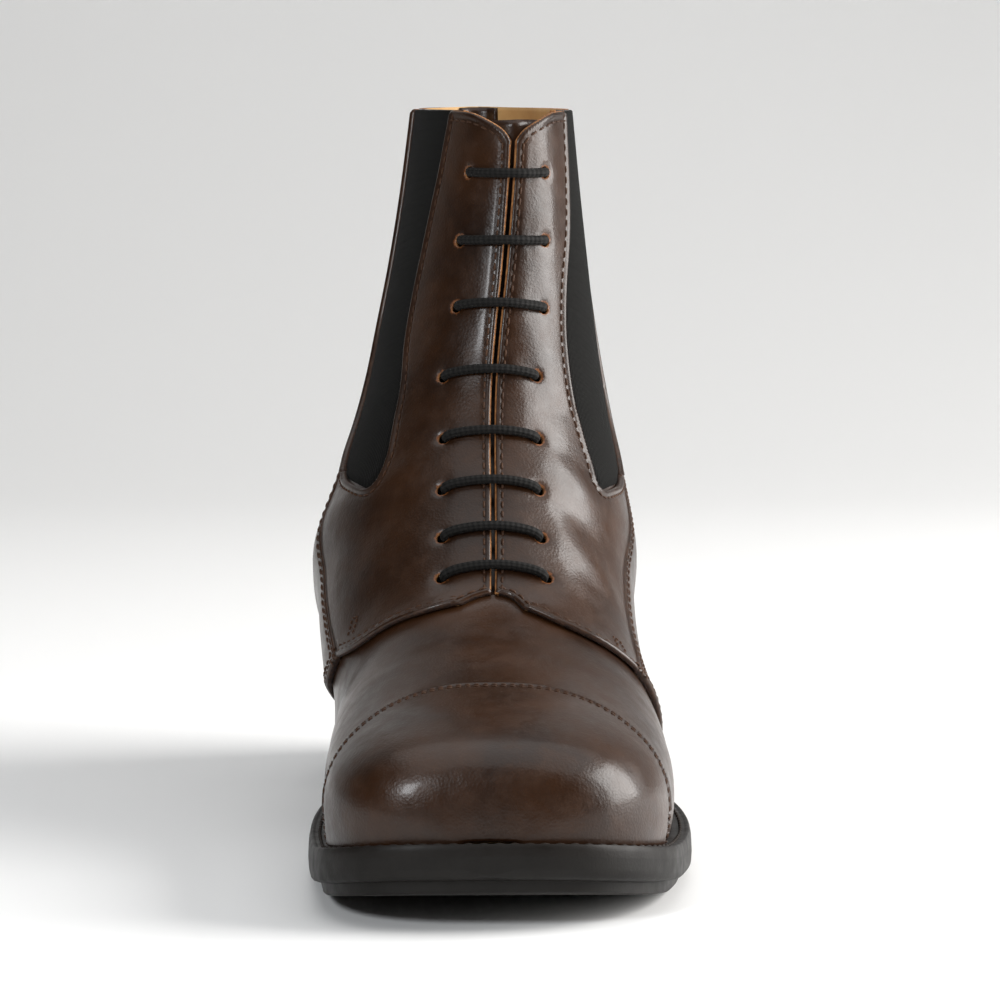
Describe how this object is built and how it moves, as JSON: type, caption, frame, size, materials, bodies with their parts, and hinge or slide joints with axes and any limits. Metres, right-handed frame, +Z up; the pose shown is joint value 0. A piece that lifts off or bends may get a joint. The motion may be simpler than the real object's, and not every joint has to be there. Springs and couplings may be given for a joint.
{
  "type": "paddock boot",
  "caption": "Left laced ankle boot in brown leather, with a toe cap, derby quarters, elastic side gores and a low heel on a stepped rubber sole.",
  "frame": {"origin": "middle of the boot's box, on the floor that it stands on", "axes": "+Z up, -Y towards the toe, +X towards the outer side of this left boot"},
  "size_m": [0.0934, 0.2732, 0.184],
  "materials": {
    "leather": "smooth, half gloss",
    "lining": "matt",
    "elastic": "ribbed, matt",
    "cord": "woven, matt",
    "rubber": "matt"
  },
  "bodies": {
    "root": {"outsole": "rubber", "heel": "rubber", "welt": "leather", "insole": "lining", "upper": "leather", "tongue": "leather", "toe_cap": "leather", "quarter_inner": "leather", "quarter_outer": "leather", "back_quarter": "leather", "gore_inner": "elastic", "gore_outer": "elastic", "lace": "cord", "pull_loop": "leather"}
  },
  "joints": []
}
